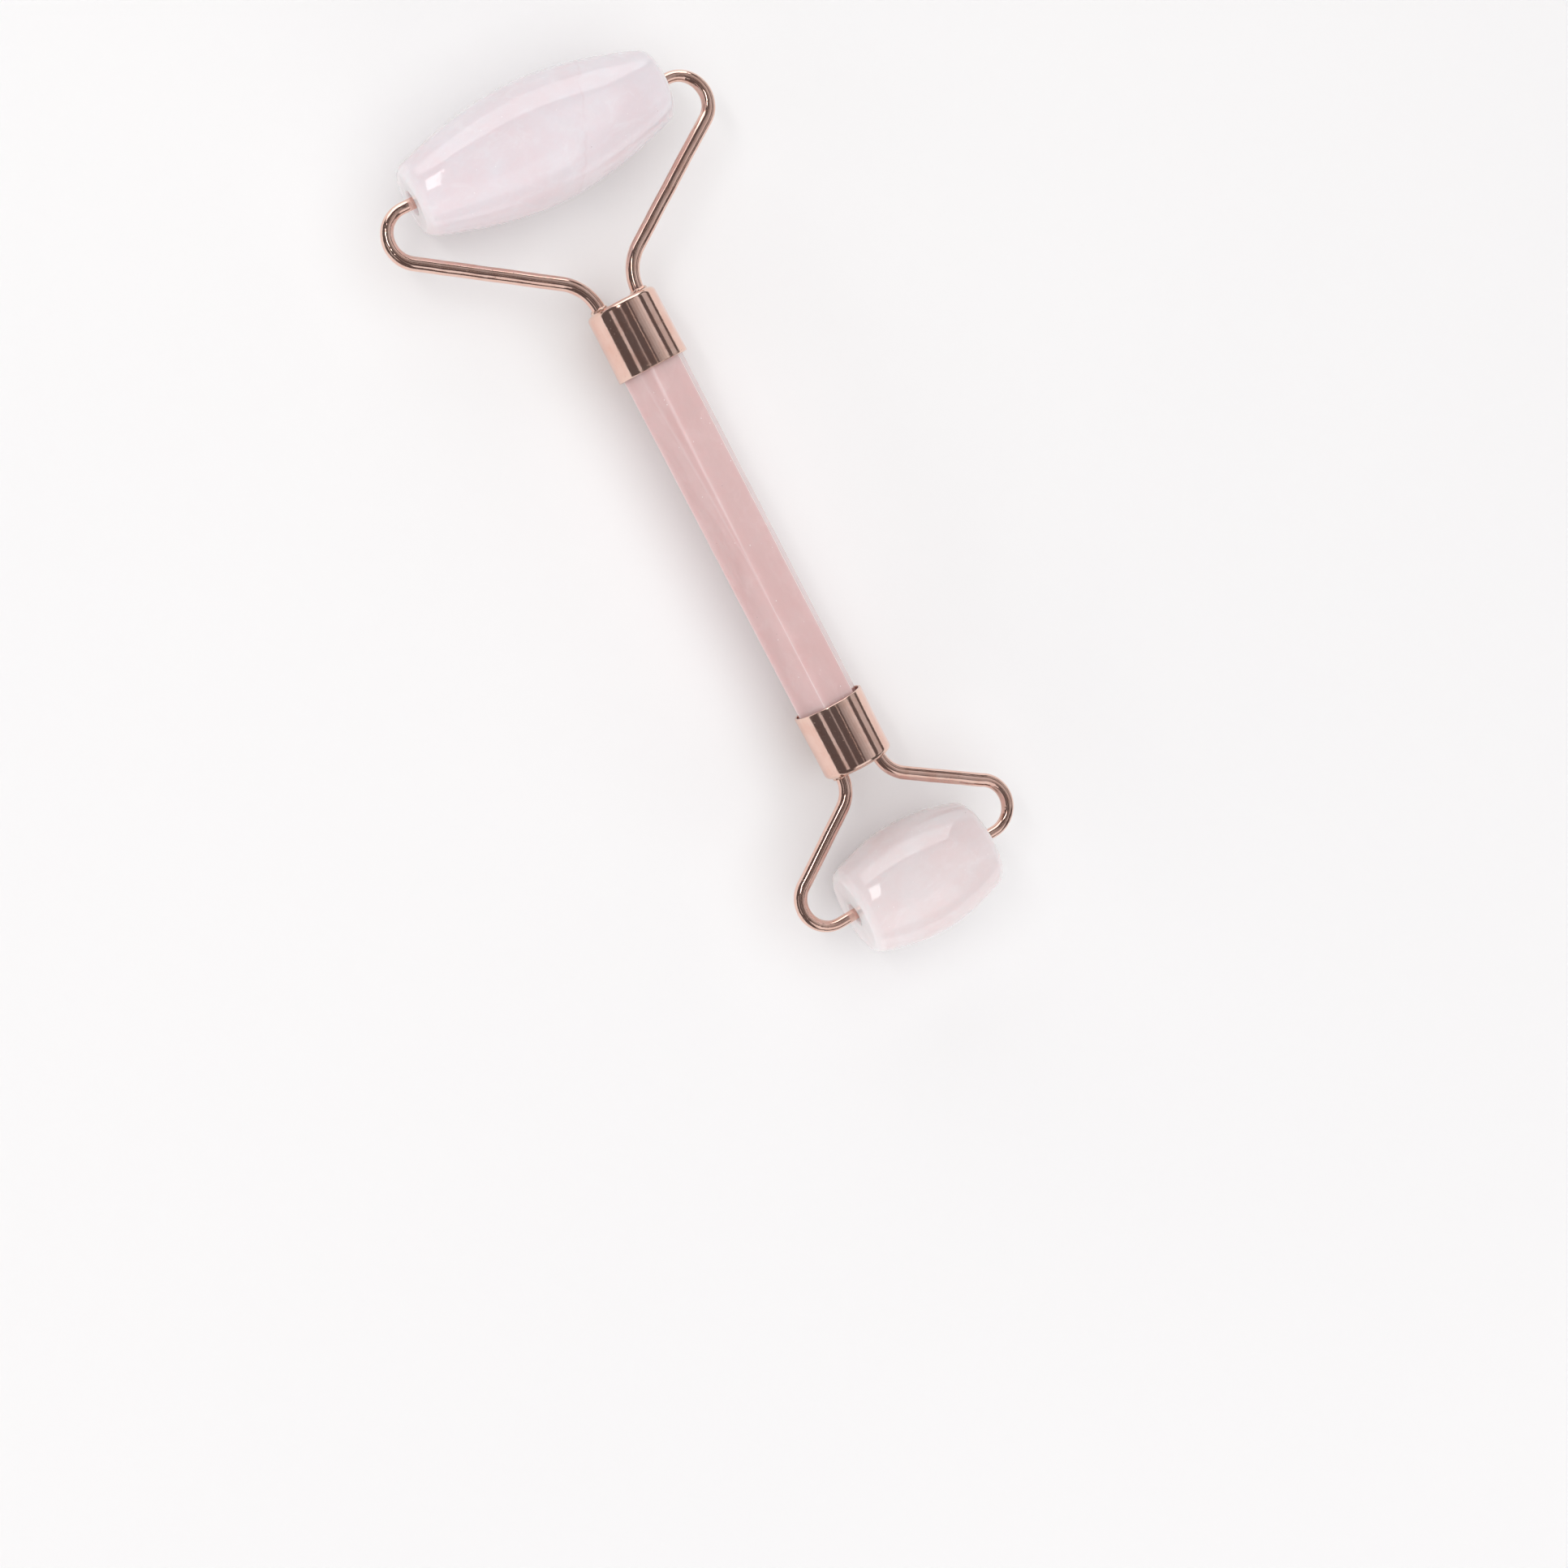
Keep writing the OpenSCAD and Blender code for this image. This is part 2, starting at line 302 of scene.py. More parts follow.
def quartz(name, pale, pink, milk, deep, centre, seed, veil=None, cloud=0.085, along=(1, 1, 1), patch=None,
           scatter=0.0042, glass=0.0, shift=0.5):
    """Polished rose quartz: cloudy pinks in the depth, feathers and veils, specks, and a polish that is not quite even."""
    n = Nodes(name)
    b = n.bsdf
    p = n.mm(centre)
    q = n.vec("ADD", n.vec("MULTIPLY", p, along), (seed * 7.1, seed * 3.7, -seed * 5.3))
    warp = n.noise(q, 0.16, 2.0, 0.5)
    qw = n.vec("ADD", q, n.vec("SCALE", n.vec("SUBTRACT", q, n.vec("SCALE", q, warp)), 0.0))
    big = n.noise(qw, cloud, 3.0, 0.52, 0.7)
    mid = n.noise(qw, cloud * 3.1, 4.0, 0.55, 0.35)
    fine = n.noise(qw, 1.3, 5.0, 0.6)
    tone = n.math("ADD", n.math("MULTIPLY", big, 0.75), n.math("MULTIPLY", mid, 0.25))
    if patch is not None:  # a broad warmer area of the stone
        at, size, gain = patch
        d = n.vec("LENGTH", n.vec("DIVIDE", n.vec("SUBTRACT", p, at), size))
        tone = n.math("ADD", tone, n.math("MULTIPLY", n.ramp(d, 0.15, 1.0, 1.0, 0.0), gain))
    colour = n.mix(n.ramp(tone, shift - 0.15, shift + 0.15), pale, pink)
    # milky wisps
    wisp = n.noise(n.vec("MULTIPLY", qw, (1.0, 1.6, 1.3)), cloud * 2.2, 6.0, 0.62, 1.1)
    colour = n.mix(n.math("MULTIPLY", n.ramp(wisp, 0.50, 0.74), 0.55), colour, milk)
    # feathers: thin wandering sheets, seen where they cut the surface
    ridge = n.math("ABSOLUTE", n.math("SUBTRACT", n.noise(qw, cloud * 1.25, 5.0, 0.5, 0.9), 0.5))
    sheet = n.ramp(ridge, 0.0, 0.018, 1.0, 0.0)
    gate = n.ramp(n.noise(q, cloud * 1.7, 1.0), 0.48, 0.62)
    colour = n.mix(n.math("MULTIPLY", n.math("MULTIPLY", sheet, gate), 0.26), colour, milk)
    mottle = n.ramp(fine, 0.3, 0.7, 0.0, 1.0)
    colour = n.mix(n.math("MULTIPLY", mottle, 0.10), colour, deep)
    if veil is not None:  # one healed crack through the stone
        at, normal, width, weight = veil
        side = n.vec("DOT_PRODUCT", n.vec("SUBTRACT", p, at), Vector(normal).normalized())
        wander = n.math("MULTIPLY", n.math("SUBTRACT", n.noise(p, 0.22, 4.0, 0.55), 0.5), 3.4)
        dist = n.math("ABSOLUTE", n.math("ADD", side, wander))
        line = n.math("MULTIPLY", n.ramp(dist, 0.0, width, 1.0, 0.0), n.ramp(n.noise(p, 0.35, 2.0), 0.36, 0.58))
        colour = n.mix(n.math("MULTIPLY", line, weight), colour, deep)
        halo = n.math("MULTIPLY", n.ramp(n.math("ADD", side, wander), 0.0, width * 9, 1.0, 0.0), n.ramp(n.math("ADD", side, wander), -0.2, 0.1, 0.0, 1.0))
        colour = n.mix(n.math("MULTIPLY", halo, weight * 0.55), colour, milk)
    # specks: tiny pale and dark grains
    v1 = n.voronoi(n.vec("ADD", p, (13.1, 4.2, 7.7)), 0.62)
    colour = n.mix(n.ramp(v1, 0.035, 0.065, 0.75, 0.0), colour, (0.98, 0.96, 0.96))
    v2 = n.voronoi(n.vec("ADD", p, (3.4, 41.0, 9.2)), 0.36)
    colour = n.mix(n.ramp(v2, 0.018, 0.034, 0.75, 0.0), colour, (0.42, 0.30, 0.31))
    # the ground ends and hole mouths look a little whiter than the barrel; on the bar the same mix whitens the corners
    # and the chamfer's two edges, partly as rubbed wear and partly as a painted highlight along the edges
    wear = n.attribute("wear")
    colour = n.mix(n.math("MULTIPLY", wear, 0.42), colour, (0.97, 0.95, 0.955))
    n.put(b.inputs["Base Color"], colour)
    b.inputs["Subsurface Weight"].default_value = 1.0
    b.inputs["Subsurface Radius"].default_value = (1.0, 0.78, 0.80)
    b.inputs["Subsurface Scale"].default_value = scatter
    b.inputs["IOR"].default_value = 1.544
    if glass:
        b.inputs["Transmission Weight"].default_value = glass
    # polish: smudges, fine scratches from use, small pits
    smudge = n.noise(n.vec("ADD", p, (5.0, 8.0, 2.0)), 0.34, 4.0, 0.6)
    scratch_a = n.noise(n.vec("MULTIPLY", p, (0.35, 9.0, 9.0)), 1.0, 2.0, 0.5)
    scratch_b = n.noise(n.vec("MULTIPLY", p, (8.0, 0.5, 3.0)), 1.0, 2.0, 0.5)
    scr = n.math("MAXIMUM", n.ramp(scratch_a, 0.70, 0.80), n.ramp(scratch_b, 0.72, 0.82))
    rough = n.math("ADD", n.ramp(smudge, 0.35, 0.75, 0.010, 0.028), n.math("MULTIPLY", scr, 0.05))
    rough = n.math("ADD", rough, n.math("MULTIPLY", wear, 0.06))
    n.put(b.inputs["Roughness"], rough)
    peel = n.noise(p, 0.55, 2.0, 0.5)
    nrm = n.bump(peel, 0.012)
    nrm = n.bump(n.math("MULTIPLY", scr, -1.0), 0.0012, 1.0, nrm)
    pit = n.voronoi(n.vec("ADD", p, (1.0, 2.0, 3.0)), 1.1)
    nrm = n.bump(n.ramp(pit, 0.02, 0.07), 0.010, 1.0, nrm)
    n.put(b.inputs["Normal"], nrm)
    return n.mat


def rose_gold(name, wire=False, tint=(0.86, 0.61, 0.525), dark=(0.81, 0.52, 0.43), rough=(0.05, 0.13)):
    """Polished, plated rose gold: fine draw or polishing lines, an orange-peel plating, small pits and rubbed edges."""
    n = Nodes(name)
    b = n.bsdf
    p = n.mm()
    if wire:
        w = n.attribute("wire_co", True)
        lines_co = n.vec("MULTIPLY", w, (3.2, 3.2, 0.05))
        cross_co = n.vec("MULTIPLY", w, (0.8, 0.8, 0.5))
    else:
        lines_co = n.vec("MULTIPLY", p, (4.5, 0.14, 4.5))
        cross_co = n.vec("MULTIPLY", p, (0.5, 6.0, 0.5))
    lines = n.noise(lines_co, 1.0, 3.0, 0.6)
    cross = n.noise(cross_co, 1.0, 2.0, 0.5)
    cloud = n.noise(n.vec("ADD", p, (9.0, 1.0, 4.0)), 0.35, 4.0, 0.6)
    peel = n.noise(p, 1.1, 2.0, 0.5)
    grain = n.noise(n.vec("ADD", p, (2.0, 7.0, 1.0)), 9.0, 2.0, 0.6)
    wear = n.attribute("wear")
    tone = n.math("ADD", n.math("MULTIPLY", cloud, 0.7), n.math("MULTIPLY", lines, 0.3))
    colour = n.mix(n.ramp(tone, 0.36, 0.68), tint, dark)
    colour = n.mix(n.math("MULTIPLY", wear, 0.55), colour, (0.92, 0.70, 0.58))
    pits = n.voronoi(n.vec("ADD", p, (4.0, 2.0, 8.0)), 1.25)
    pit = n.ramp(pits, 0.05, 0.10, 1.0, 0.0)
    colour = n.mix(n.math("MULTIPLY", pit, 0.5), colour, (0.42, 0.27, 0.22))
    n.put(b.inputs["Base Color"], colour)
    b.inputs["Metallic"].default_value = 1.0
    r = n.ramp(n.math("ADD", n.math("MULTIPLY", cloud, 0.55), n.math("MULTIPLY", grain, 0.45)), 0.36, 0.66, rough[0], rough[1])
    r = n.math("ADD", r, n.math("MULTIPLY", n.ramp(lines, 0.60, 0.74), 0.08))
    r = n.math("ADD", r, n.math("MULTIPLY", wear, 0.04))
    n.put(b.inputs["Roughness"], r)
    nrm = n.bump(peel, 0.007)
    nrm = n.bump(grain, 0.0006 if wire else 0.0013, 1.0, nrm)
    nrm = n.bump(lines, 0.0008, 1.0, nrm)
    # scuffs gather on the rubbed outsides
    scuff = n.math("MULTIPLY", n.ramp(n.noise(n.vec("ADD", p, (1.0, 5.0, 3.0)), 4.5, 3.0, 0.65), 0.56, 0.72), wear)
    nrm = n.bump(n.math("ADD", scuff, n.math("MULTIPLY", n.ramp(cross, 0.60, 0.80), 0.3)), 0.006, 1.0, nrm)
    nrm = n.bump(n.math("MULTIPLY", pit, -1.0), 0.012, 1.0, nrm)
    n.put(b.inputs["Normal"], nrm)
    return n.mat


def braze_metal():
    n = Nodes("braze_bead")
    b = n.bsdf
    p = n.mm()
    a = n.noise(p, 1.4, 4.0, 0.6)
    g = n.noise(p, 6.0, 3.0, 0.6)
    colour = n.mix(n.ramp(a, 0.35, 0.65), (0.90, 0.70, 0.60), (0.72, 0.46, 0.36))
    colour = n.mix(n.ramp(n.voronoi(p, 2.4), 0.05, 0.16, 0.6, 0.0), colour, (0.30, 0.20, 0.17))
    n.put(b.inputs["Base Color"], colour)
    b.inputs["Metallic"].default_value = 1.0
    n.put(b.inputs["Roughness"], n.ramp(g, 0.3, 0.7, 0.08, 0.24))
    n.put(b.inputs["Normal"], n.bump(n.math("ADD", a, n.math("MULTIPLY", g, 0.4)), 0.10))
    return n.mat


def cement_material():
    n = Nodes("cement")
    b = n.bsdf
    p = n.mm()
    a = n.noise(p, 0.9, 4.0, 0.6)
    g = n.noise(p, 5.0, 3.0, 0.6)
    colour = n.mix(n.ramp(a, 0.3, 0.7), (0.80, 0.76, 0.70), (0.66, 0.60, 0.54))
    colour = n.mix(n.ramp(n.voronoi(p, 1.8), 0.05, 0.13, 0.8, 0.0), colour, (0.36, 0.31, 0.28))
    n.put(b.inputs["Base Color"], colour)
    b.inputs["Subsurface Weight"].default_value = 0.3
    b.inputs["Subsurface Radius"].default_value = (1.0, 0.8, 0.6)
    b.inputs["Subsurface Scale"].default_value = 0.0008
    n.put(b.inputs["Roughness"], n.ramp(g, 0.3, 0.7, 0.25, 0.45))
    n.put(b.inputs["Normal"], n.bump(n.math("ADD", a, n.math("MULTIPLY", g, 0.3)), 0.08))
    return n.mat


def bush_material():
    n = Nodes("bush_plastic")
    b = n.bsdf
    p = n.mm()
    a = n.noise(p, 0.8, 3.0, 0.5)
    turned = n.noise(n.vec("MULTIPLY", p, (7.0, 0.4, 0.4)), 1.0, 2.0, 0.5)
    colour = n.mix(n.ramp(a, 0.3, 0.7), (0.90, 0.86, 0.86), (0.84, 0.76, 0.76))
    colour = n.mix(n.ramp(turned, 0.6, 0.8, 0.0, 0.25), colour, (0.60, 0.50, 0.48))
    n.put(b.inputs["Base Color"], colour)
    b.inputs["Subsurface Weight"].default_value = 1.0
    b.inputs["Subsurface Radius"].default_value = (1.0, 0.9, 0.9)
    b.inputs["Subsurface Scale"].default_value = 0.0012
    b.inputs["IOR"].default_value = 1.46
    n.put(b.inputs["Roughness"], n.ramp(a, 0.3, 0.7, 0.22, 0.36))
    n.put(b.inputs["Normal"], n.bump(turned, 0.01))
    return n.mat


MAT_BIG = quartz("rose_quartz_large", pale=(0.82, 0.780, 0.813), pink=(0.815, 0.735, 0.764), milk=(0.855, 0.825, 0.850),
                 deep=(0.755, 0.64, 0.665), centre=tuple(BIG_C), seed=1.0,
                 veil=((6.5, 0.0, 4.0), (0.90, -0.42, 0.10), 0.40, 0.34), patch=((-5.0, -2.0, 7.0), (11.0, 10.0, 10.0), 0.08))
MAT_SMALL = quartz("rose_quartz_small", pale=(0.80, 0.745, 0.752), pink=(0.795, 0.700, 0.702), milk=(0.84, 0.795, 0.805),
                   deep=(0.74, 0.61, 0.62), centre=tuple(SMALL_C), seed=2.6, patch=((5.0, 2.0, 6.0), (8.0, 9.0, 9.0), 0.05))
MAT_BAR = quartz("rose_quartz_bar", pale=(0.74, 0.550, 0.542), pink=(0.715, 0.510, 0.500), milk=(0.775, 0.60, 0.592),
                 deep=(0.62, 0.425, 0.415), centre=(0.0, BAR_Y, AXIS_Z), seed=4.2, cloud=0.10, along=(1.0, 0.42, 1.0),
                 scatter=0.0026)
MAT_FERRULE = rose_gold("rose_gold_ferrule", False, rough=(0.06, 0.14))
MAT_WIRE = rose_gold("rose_gold_wire", True, rough=(0.06, 0.15))
MAT_BRAZE = braze_metal()
MAT_CEMENT = cement_material()
MAT_BUSH = bush_material()

# ---------------------------------------------------------------------------
# Stones
# ---------------------------------------------------------------------------


def barrel_r(x, r, crown, flank):
    b = crown * flank * flank
    return r - (math.sqrt(b * b + (flank * x) ** 2) - b)


def barrel_profile(length, r, crown, flank, edge=1.5, hole=1.8, depth=6.0):
    """(radius, distance along the axis, wear) for one half, from the middle of the barrel to the bottom of the hole."""
    b = crown * flank * flank
    half = length / 2
    slope = math.degrees(math.atan(flank * flank * (half - edge) / math.sqrt(b * b + (flank * (half - edge)) ** 2)))
    xc = half - edge
    x_join = xc + edge * math.sin(math.radians(slope))
    yc = barrel_r(x_join, r, crown, flank) - edge * math.cos(math.radians(slope))
    pts = []
    steps = max(30, int(x_join / 0.32))
    for i in range(steps):
        x = x_join * i / steps
        pts.append((barrel_r(x, r, crown, flank), x, 0.0))
    for i in range(15):
        a = math.radians(90 - slope - (90 - slope) * i / 14)
        pts.append((yc + edge * math.sin(a), xc + edge * math.cos(a), 0.25 + 0.75 * smooth(0, 14, i)))
    mouth = hole + 0.32
    for i in range(1, 9):  # end face, very slightly domed by the polishing
        t = i / 9
        rr = yc + (mouth - yc) * t
        pts.append((rr, half - 0.04 * t * t, 1.0))
    for i in range(7):  # softened mouth of the hole
        a = math.radians(90 * i / 6)
        pts.append((mouth - 0.32 * math.sin(a), half - 0.04 - 0.32 * (1 - math.cos(a)), 1.0))
    for i in range(1, 10):
        pts.append((hole, half - 0.36 - (depth - 0.36 - 0.3) * i / 9, 0.6))
    pts += [(hole - 0.09, half - depth + 0.09, 0.5), (hole - 0.3, half - depth, 0.5), (hole * 0.5, half - depth - 0.12, 0.5), (0.0, half - depth - 0.18, 0.5)]
    return pts


def stone(name, centre, length, r, crown, flank, seed, mat, body, node):
    up = barrel_profile(length, r, crown, flank)
    down = [(a, -x, w) for a, x, w in reversed(up[1:])]
    profile = down + up
    half = length / 2

    def shift(rad, x, a):
        # hand-ground: a slightly uneven barrel, always just inside its true size, with uneven end edges
        c = Vector((x * 0.16, math.cos(a) * 1.3, math.sin(a) * 1.3))
        outer = smooth(2.4, 4.0, rad)
        low = fbm(c, seed, 2)
        d = -0.055 * (0.5 + 0.5 * low) - 0.012 * (1 + fbm(Vector((x * 0.5, math.cos(a) * 4, math.sin(a) * 4)), seed + 3, 2))
        near = smooth(half - 2.4, half - 0.4, abs(x)) * smooth(3.2, 5.0, rad)
        e = -0.16 * near * (0.5 + 0.5 * fbm(Vector((math.cos(a) * 1.1, math.sin(a) * 1.1, 3.0 if x > 0 else -3.0)), seed + 7, 2))
        dx = 0.0
        if abs(x) > half - 0.9 and rad > 2.2:
            s = 1 if x > 0 else -1
            dx = -s * 0.06 * (0.5 + 0.5 * fbm(Vector((math.cos(a) * 0.9, math.sin(a) * 0.9, 9.0 * s)), seed + 5, 2)) * smooth(2.2, 3.6, rad)
        if rad <= 2.3 and abs(x) > half - 0.5:  # tiny chips round the mouth of the hole
            chip = smooth(0.28, 0.5, fbm(Vector((math.cos(a) * 3.5, math.sin(a) * 3.5, x)), seed + 11, 2))
            return 0.10 * chip * smooth(half - 0.4, half, abs(x)), 0.0
        return (d + e) * outer, dx

    def place(u, v, h):
        return (centre.x + h, centre.y + u, centre.z + v)

    verts, faces, wear = lathe(profile, 208, place, shift)
    ob = make_mesh(name, verts, faces, {"wear": wear}, sharp=60)
    return finish_piece(ob, mat, body, node)


stone("large_rose_quartz_roller", BIG_C, BIG_L, BIG_R, 45.0, 0.44, 1.0, MAT_BIG, "large_roller", "large_roller_stone")
stone("small_rose_quartz_roller", SMALL_C, SMALL_L, SMALL_R, 24.3, 0.484, 2.0, MAT_SMALL, "small_roller", "small_roller_stone")


def bush(name, node, body):
    """Turned plastic sleeve with a lead-in at the end that faces out of the stone."""
    lo, hi = box_mm(node)
    sign = 1 if (lo.x + hi.x) > 0 else -1
    length = hi.x - lo.x
    ro, ri = (hi.z - lo.z) / 2 - 0.01, PIN_R + 0.05
    yc, zc = (lo.y + hi.y) / 2, (lo.z + hi.z) / 2
    x0 = lo.x if sign > 0 else hi.x
    pr = [(ri, 0.0)] + [(ri, length * i / 8) for i in range(1, 8)] + [(ri, length - 0.42)]
    pr += [(ri + 0.30 * t, length - 0.42 + 0.36 * t) for t in (0.33, 0.66, 1.0)]
    pr += [(ri + 0.38, length - 0.02), (ri + 0.46, length)]
    pr += [(ro - 0.18, length)] + arc(ro - 0.18, length - 0.18, 0.18, 90, 0, 5)[1:]
    pr += [(ro, length * i / 8) for i in range(7, 0, -1)]
    pr += arc(ro - 0.15, 0.15, 0.15, 0, -90, 4) + [(ri, 0.0)]
    profile = [(r, h, 0.0) for r, h in pr]

    def place(u, v, h):
        return (x0 + sign * h, yc + u, zc + v)

    verts, faces, wear = lathe(profile[:-1], 72, place)
    n = len(profile) - 1
    first, last = [i for i in range(72)], [(n - 1) * 72 + i for i in range(72)]
    faces += [(last[i], last[(i + 1) % 72], first[(i + 1) % 72], first[i]) for i in range(72)]
    ob = make_mesh(name, verts, faces, {"wear": wear}, sharp=50)
    return finish_piece(ob, MAT_BUSH, body, node)


for end, body in (("large", "large_roller"), ("small", "small_roller")):
    for side in ("left", "right"):
        bush(f"{end}_{side}_pin_bush", f"{end}_bush_{side}", body)

# ---------------------------------------------------------------------------
# Handle bar
# ---------------------------------------------------------------------------


def handle_bar():
    """Six flats with narrow, slightly worn corners, running a millimetre into each ferrule above its tenon. The corners
    carry a painted highlight: they are whitened a little, partly as wear.
    A hand-cut chamfer runs down the front left corner from the large ferrule and tapers away."""
    per = 6
    into = 1.05
    tenon_r = 4.5
    tip = (_bhi.y - _blo.y) / 2
    ys = []
    y = -(BAR_HALF + into)
    while y < BAR_HALF + into - 1e-6:
        ys.append(y)
        y += 0.5
    ys.append(BAR_HALF + into)
    verts, faces, wear, rings = [], [], [], []

    def add_ring(points, w):
        ring = []
        for (x, z, yy), ww in zip(points, w):
            ring.append(len(verts))
            verts.append((x, BAR_Y + yy, AXIS_Z + z))
            wear.append(ww)
        rings.append(ring)

    across = 7
    count = 6 * (per + 1) + 6 * across

    def corner_points(k, y, flat):
        a = math.radians(60 * k - BAR_TURN)            # direction of a corner: 0 is +X
        soft = 0.15 + 0.06 * fbm(Vector((y * 0.11, k * 3.1, 0.0)), 1.0, 2)
        corner = flat / math.cos(math.radians(30))
        cc = corner - soft / math.cos(math.radians(30))
        pts = []
        for i in range(per + 1):
            b = a + math.radians(-30 + 60 * i / per)
            pts.append(Vector((cc * math.cos(a) + soft * math.cos(b), cc * math.sin(a) + soft * math.sin(b))))
        if k == 2:
            c = min(1.0, max(0.0, (y + 10) / (BAR_HALF + 10)))
            if c > 0.02:
                tip_p = Vector((corner * math.cos(a), corner * math.sin(a)))
                n1, n2 = a - math.radians(30), a + math.radians(30)
                t1, t2 = Vector((math.sin(n1), -math.cos(n1))), Vector((-math.sin(n2), math.cos(n2)))
                wob = 1 + 0.05 * fbm(Vector((y * 0.07, 8.0, 1.0)), 5.0, 2)
                pf, pl = tip_p + t1 * 0.55 * c * wob, tip_p + t2 * 2.0 * c * wob
                u = (pl - pf).normalized()
                ln = (pl - pf).length
                e = min(0.07, ln * 0.12)
                cut = [pf + t1 * e, pf + u * e, pf + u * ln * 0.27, pf + u * ln * 0.5, pf + u * ln * 0.73, pl - u * e, pl + t2 * e]
                m = smooth(0.10, 0.30, c)
                pts = [p.lerp(q, m) for p, q in zip(pts, cut)]
        return pts

    def section(y, flat):
        corners = [corner_points(k, y, flat) for k in range(6)]
        pts, w = [], []
        for k in range(6):
            for i, p in enumerate(corners[k]):
                pts.append((p.x, p.y, y))
                # painted highlight, partly wear: these values whiten the corners and the chamfer's two edges through
                # the quartz colour
                if k == 2 and y > -10:
                    w.append(0.28 if i in (0, 1, 5, 6) else 0.0)
                else:
                    w.append(0.55 * math.sin(math.pi * i / per))
            p0, p1 = corners[k][-1], corners[(k + 1) % 6][0]
            a = math.radians(60 * k - BAR_TURN + 30)
            nx, nz = math.cos(a), math.sin(a)
            for i in range(across):
                t = (0.05, 0.18, 0.34, 0.5, 0.66, 0.82, 0.95)[i]
                x, z = p0.x + (p1.x - p0.x) * t, p0.y + (p1.y - p0.y) * t
                d = -0.020 * (0.5 + 0.5 * fbm(Vector((y * 0.10, k * 2.3, t * 1.2)), 4.0, 2)) * smooth(0.05, 0.35, t) * smooth(0.05, 0.35, 1 - t)
                pts.append((x + nx * d, z + nz * d, y))
                w.append(0.0)
        return pts, w

    # round tenon ring with as many points, by angle
    def round_ring(y, r, like):
        return [(r * math.cos(math.atan2(z, x)), r * math.sin(math.atan2(z, x)), y) for x, z, _ in like]

    base, _w = section(-BAR_HALF, BAR_FLAT_R)
    pole_a = len(verts)
    verts.append((0.0, BAR_Y - tip, AXIS_Z))
    wear.append(0.0)
    for r, yy in ((tenon_r * 0.5, -tip), (tenon_r - 0.3, -tip), (tenon_r - 0.09, -tip + 0.09), (tenon_r, -tip + 0.3),
                  (tenon_r, -tip + 3.0), (tenon_r, -(BAR_HALF + into))):
        add_ring(round_ring(yy, r, base), [0.0] * count)
    for y in ys:
        pts, w = section(y, BAR_FLAT_R)
        add_ring(pts, w)
    top, _w = section(BAR_HALF, BAR_FLAT_R)
    for r, yy in ((tenon_r, BAR_HALF + into), (tenon_r, tip - 3.0), (tenon_r, tip - 0.3), (tenon_r - 0.09, tip - 0.09), (tenon_r - 0.3, tip), (tenon_r * 0.5, tip)):
        add_ring(round_ring(yy, r, top), [0.0] * count)
    pole_b = len(verts)
    verts.append((0.0, BAR_Y + tip, AXIS_Z))
    wear.append(0.0)
    for a, b in zip(rings, rings[1:]):
        for i in range(count):
            j = (i + 1) % count
            faces.append((a[i], a[j], b[j], b[i]))
    for i in range(count):
        j = (i + 1) % count
        faces.append((pole_a, rings[0][j], rings[0][i]))
        faces.append((rings[-1][i], rings[-1][j], pole_b))
    ob = make_mesh("rose_quartz_handle_bar", verts, faces, {"wear": wear}, sharp=50)
    return finish_piece(ob, MAT_BAR, "handle_assembly", "handle_bar")


handle_bar()

# ---------------------------------------------------------------------------
# Ferrules, cement
# ---------------------------------------------------------------------------


def end_place(sign):
    """Points at (x, z) round the handle's axis and h beyond the rim of a ferrule, at the large (1) or small (-1) end."""
    def place(u, v, h):
        return (u, BAR_Y + sign * (BAR_HALF + h), AXIS_Z + v)
    return place


